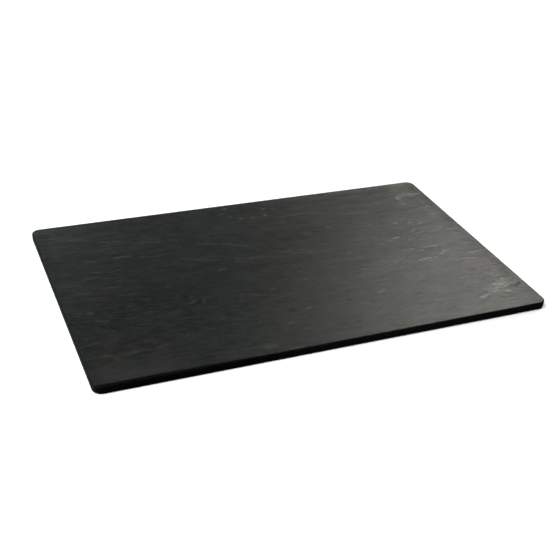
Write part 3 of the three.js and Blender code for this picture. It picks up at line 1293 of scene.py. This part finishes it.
@dataclass
class SiliconeFoot:
    """A moulded silicone disc with a rounded foot edge and a shallow gate dimple.

    Lengths are in metres. The radius and the top's height come from the frame.
    """

    radius: float
    top: float
    edge_radius: float = 0.0011
    chamfer: float = 0.0004
    dimple_radius: float = 0.0011
    dimple_depth: float = 0.0002
    turn_steps: int = 64
    edge_steps: int = 6
    smooth_angle_deg: float = 35.0

    def build(self) -> Object:
        """Model one foot, standing on the origin.

        Returns:
            The foot's mesh object, closed.
        """
        bpy.ops.object.select_all(action="DESELECT")
        bpy.ops.mesh.primitive_circle_add(
            vertices=self.turn_steps, radius=self.dimple_radius / 2, fill_type="NGON",
            location=(0.0, 0.0, self.dimple_depth),
        )
        bpy.ops.object.transform_apply()
        bpy.ops.object.mode_set(mode="EDIT")
        for radius, height in self._section():
            extrude_open_edges(partial(on_circle, centre=Vector(), radius=radius, height=height))
        bpy.ops.mesh.edge_face_add()
        bpy.ops.mesh.select_all(action="SELECT")
        bpy.ops.mesh.normals_make_consistent(inside=False)
        bpy.ops.object.mode_set(mode="OBJECT")
        bpy.ops.object.shade_smooth_by_angle(angle=math.radians(self.smooth_angle_deg))
        return bpy.context.object

    def copy(self, model: Object, name: str, centre: Vector) -> Object:
        """Copy the modelled foot to its socket.

        Args:
            model: the modelled foot.
            name: the copy's name.
            centre: the copy's place.

        Returns:
            The copy, with its own mesh and its place in it.
        """
        bpy.ops.object.select_all(action="DESELECT")
        model.select_set(True)
        bpy.context.view_layer.objects.active = model
        bpy.ops.object.duplicate()
        foot = bpy.context.object
        foot.name = foot.data.name = name
        foot.location = centre
        bpy.ops.object.transform_apply()
        return foot

    def dress(self, foot: Object, node: str, finish: Material) -> None:
        """Give the foot its finish and put it in the frame.

        Args:
            foot: the foot's mesh object.
            node: the solid that it stands for.
            finish: the silicone material.
        """
        foot.data.materials.append(finish)
        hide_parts(node)
        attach(foot, BODY)

    def _section(self) -> list[tuple[float, float]]:
        """Give the disc in section, as radii and heights from the dimple to the top."""
        centre = (self.radius - self.edge_radius, self.edge_radius)
        edge = arc(centre, self.edge_radius, -90, 0, self.edge_steps)
        chamfer = [(self.radius, self.top - self.chamfer), (self.radius - self.chamfer, self.top)]
        return [(self.dimple_radius, 0.0), *edge, *chamfer]


@dataclass(frozen=True)
class Softbox:
    """A rectangular soft lamp.

    Attributes:
        name: what the lamp does.
        place: its centre, in metres.
        aim: the point that it faces, in metres.
        size: its width and height, in metres.
        watts: its power.
        colour: its colour as written in sRGB.
    """

    name: str
    place: tuple[float, float, float]
    aim: tuple[float, float, float]
    size: tuple[float, float]
    watts: float
    colour: str = "#ffffff"

    def hang(self) -> None:
        """Add the lamp."""
        lamp = bpy.data.lights.new(self.name, "AREA")
        lamp.shape = "RECTANGLE"
        lamp.size, lamp.size_y = self.size
        lamp.energy = self.watts
        lamp.color = linear(self.colour)[:3]
        holder = bpy.data.objects.new(self.name, lamp)
        bpy.context.collection.objects.link(holder)
        holder.location = self.place
        facing = Vector(self.aim) - Vector(self.place)
        holder.rotation_euler = facing.to_track_quat("-Z", "Y").to_euler()


@dataclass
class Studio:
    """The pale floor, the soft lamps and the camera that stands where the photograph was taken."""

    floor_size: float = 8.0
    floor_seen: float = 1.38
    floor_bounce: str = "#4a4a4a"
    floor_bounce_left: str = "#dcdcdc"
    left_bounce_from: tuple[float, float] = (-0.26, -0.30)
    glow_start: float = 0.42
    glow_end: float = 0.75
    world_strength: float = 0.05
    camera_place: tuple[float, float, float] = (-0.4164, -0.8901, 0.5920)
    camera_azimuth_deg: float = -24.986
    camera_elevation_deg: float = 31.551
    camera_roll_deg: float = 4.479
    focal_px: float = 963.35
    picture_px: float = 560.0
    sensor_mm: float = 36.0
    lamps: tuple[Softbox, ...] = (
        Softbox("room_light", (-1.5, -0.7, 2.4), (-1.5, -0.7, 0.0), (2.0, 2.0), 90.0, "#fbfffd"),
        Softbox("window", (1.56, 1.0, 1.18), (0.0, 0.0, 0.0), (1.5, 0.3), 15.4, "#fdfaf1"),
        Softbox("far_fill", (-0.07, 2.18, 0.31), (0.0, 0.0, 0.0), (0.5, 0.3), 2.2, "#ecf9f6"),
    )

    def build(self) -> None:
        """Make the floor, the world, the lamps and the camera."""
        self._lay_floor()
        self._light_world()
        for lamp in self.lamps:
            lamp.hang()
        self._set_camera()
        bpy.context.scene.view_settings.view_transform = "Standard"

    def _lay_floor(self) -> None:
        """Add the floor, which looks white and keeps the board's shadow."""
        bpy.ops.mesh.primitive_plane_add(size=self.floor_size, location=(0.0, 0.0, 0.0))
        floor = bpy.context.object
        floor.name = "floor"
        material = new_material("pale_floor")
        tree = material.node_tree
        seen = add_node(tree, "ShaderNodeLightPath").outputs["Is Camera Ray"]
        bright = (self.floor_seen, self.floor_seen, self.floor_seen, 1.0)
        place = add_node(tree, "ShaderNodeTexCoord").outputs["Object"]
        apart = add_node(tree, "ShaderNodeSeparateXYZ", inputs={0: place})
        start, full = self.left_bounce_from
        left = add_node(tree, "ShaderNodeMapRange", inputs={
            "Value": apart.outputs["X"],
            "From Min": start,
            "From Max": full,
        })
        bounce = add_node(tree, "ShaderNodeMix", {"data_type": "RGBA"}, {
            MIX_FACTOR: left.outputs["Result"],
            MIX_A: linear(self.floor_bounce),
            MIX_B: linear(self.floor_bounce_left),
        })
        colour = add_node(tree, "ShaderNodeMix", {"data_type": "RGBA"}, {
            MIX_FACTOR: seen,
            MIX_A: bounce.outputs[MIX_RESULT],
            MIX_B: bright,
        })
        paper = add_node(tree, "ShaderNodeBsdfDiffuse", inputs={"Color": colour.outputs[MIX_RESULT]})
        reach = add_node(tree, "ShaderNodeVectorMath", {"operation": "LENGTH"}, {0: place})
        far = add_node(tree, "ShaderNodeMapRange", {"interpolation_type": "SMOOTHSTEP"}, {
            "Value": reach.outputs["Value"],
            "From Min": self.glow_start,
            "From Max": self.glow_end,
        })
        white = add_node(tree, "ShaderNodeMath", {"operation": "MULTIPLY"}, {
            0: seen,
            1: far.outputs["Result"],
        })
        glow = add_node(tree, "ShaderNodeEmission", inputs={"Strength": white.outputs[0]})
        both = add_node(tree, "ShaderNodeAddShader", inputs={0: paper.outputs[0], 1: glow.outputs[0]})
        add_node(tree, "ShaderNodeOutputMaterial", inputs={"Surface": both.outputs[0]})
        floor.data.materials.append(material)

    def _light_world(self) -> None:
        """Light the room evenly and dimly, and show it white behind everything."""
        world = bpy.data.worlds.new("studio")
        world.use_nodes = True
        tree = world.node_tree
        tree.nodes.clear()
        seen = add_node(tree, "ShaderNodeLightPath").outputs["Is Camera Ray"]
        dim = add_node(tree, "ShaderNodeBackground", inputs={
            "Color": linear("#ffffff"),
            "Strength": self.world_strength,
        })
        white = add_node(tree, "ShaderNodeBackground", inputs={"Color": linear("#ffffff"), "Strength": 1.0})
        both = add_node(tree, "ShaderNodeMixShader", inputs={
            0: seen,
            1: dim.outputs[0],
            2: white.outputs[0],
        })
        add_node(tree, "ShaderNodeOutputWorld", inputs={"Surface": both.outputs[0]})
        bpy.context.scene.world = world

    def _set_camera(self) -> None:
        """Put the camera where the photograph's was."""
        camera = bpy.data.cameras.new("photo_camera")
        camera.sensor_fit = "HORIZONTAL"
        camera.sensor_width = self.sensor_mm
        camera.lens = self.focal_px / self.picture_px * self.sensor_mm
        holder = bpy.data.objects.new("photo_camera", camera)
        bpy.context.collection.objects.link(holder)
        turn = Matrix.Rotation(math.radians(self.camera_azimuth_deg), 4, "Z")
        tilt = Matrix.Rotation(math.radians(90 - self.camera_elevation_deg), 4, "X")
        roll = Matrix.Rotation(math.radians(self.camera_roll_deg), 4, "Z")
        holder.matrix_world = Matrix.Translation(self.camera_place) @ turn @ tilt @ roll
        bpy.context.scene.camera = holder


def main() -> None:
    """Build the board, its feet and the studio."""
    logging.basicConfig(level=logging.INFO, format="%(name)s: %(message)s")
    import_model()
    bpy.ops.object.select_all(action="DESELECT")

    foot_nodes = [f"foot_{side}_{end}" for side in ("front", "back") for end in ("left", "right")]
    foot_boxes = [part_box(node) for node in foot_nodes]
    centres = [Vector(((low.x + high.x) / 2, (low.y + high.y) / 2, 0.0)) for low, high in foot_boxes]
    radius = (foot_boxes[0][1].x - foot_boxes[0][0].x) / 2
    top = foot_boxes[0][1].z

    low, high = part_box("melamine_board")
    shell = MelamineBoard(low, high, centres, radius, top)
    board = shell.build()
    shell.dress(board)
    LOG.info("%s: %d faces", board.name, len(board.data.polygons))

    disc = SiliconeFoot(radius, top)
    model = disc.build()
    silicone = Silicone().build()
    for node, centre in zip(foot_nodes, centres):
        foot = disc.copy(model, f"silicone_{node}", centre)
        disc.dress(foot, node, silicone)
        LOG.info("%s: %d faces", foot.name, len(foot.data.polygons))
    bpy.data.objects.remove(model)

    Studio().build()
    LOG.info("studio: floor, world, lamps and camera")


if __name__ == "__main__":
    main()
